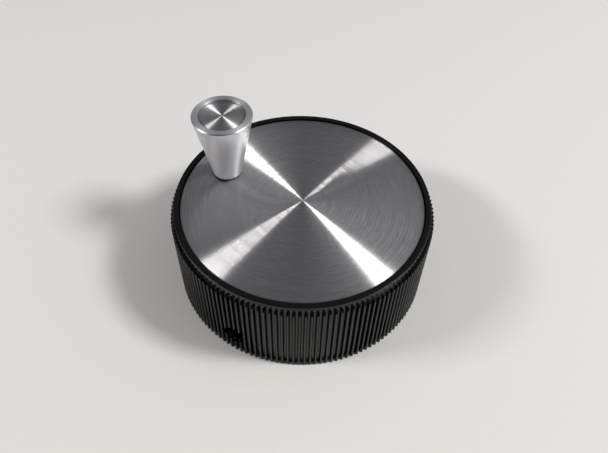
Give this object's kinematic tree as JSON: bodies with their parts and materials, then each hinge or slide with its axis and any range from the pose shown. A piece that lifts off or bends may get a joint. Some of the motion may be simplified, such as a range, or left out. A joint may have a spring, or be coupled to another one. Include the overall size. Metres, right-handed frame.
{
  "type": "spinner tuning knob",
  "caption": "Ribbed black tuning knob with a spun aluminium face disc and a conical finger handle, set off centre, that turns freely on its own axle.",
  "frame": {"origin": "centre of the plane of the skirt's lower edge, on the knob's axis", "axes": "+Z along the knob's axis towards the handle, -Y the side of the moulding that faces the viewer, with the skirt's visible set screw hole 29 degrees to its left"},
  "size_m": [0.0576, 0.0576, 0.0373],
  "materials": {
    "black_moulding": "satin black thermoset moulding",
    "spun_aluminium": "circular brushed, clear anodised",
    "satin_aluminium": "fine satin, clear anodised",
    "adhesive": "dull film",
    "brass": "turned",
    "bronze": "sintered, oiled",
    "plain_steel": "bright zinc",
    "black_steel": "black oxide",
    "nylon": "dull black nylon"
  },
  "bodies": {
    "knob": {"knob_shell": "black_moulding", "face_disc": "spun_aluminium", "face_adhesive": "adhesive", "hub_bushing": "brass", "boss_insert": "brass", "handle_axle": "plain_steel", "axle_flat_washer": "plain_steel", "axle_lock_washer": "plain_steel", "axle_nut": "plain_steel", "thrust_washer": "nylon", "wave_washer": "plain_steel", "head_washer": "plain_steel"},
    "handle": {"handle_grip": "satin_aluminium", "lower_bush": "bronze", "upper_bush": "bronze", "cap_adhesive": "adhesive", "handle_cap": "spun_aluminium"},
    "screw_a": {"set_screw_a": "black_steel"},
    "screw_b": {"set_screw_b": "black_steel"}
  },
  "joints": [
    {"name": "handle_spin", "type": "hinge", "parent": "knob", "child": "handle", "pos_m": [-0.01718, 0.00846, 0.0209], "axis": [0, 0, 1], "continuous": true},
    {"name": "screw_a_travel", "type": "slide", "parent": "knob", "child": "screw_a", "axis": [-0.4787, -0.878, 0], "range_m": [-0.0012, 0.002]},
    {"name": "screw_b_travel", "type": "slide", "parent": "knob", "child": "screw_b", "axis": [-0.521, 0.8536, 0], "range_m": [-0.0012, 0.002]}
  ]
}
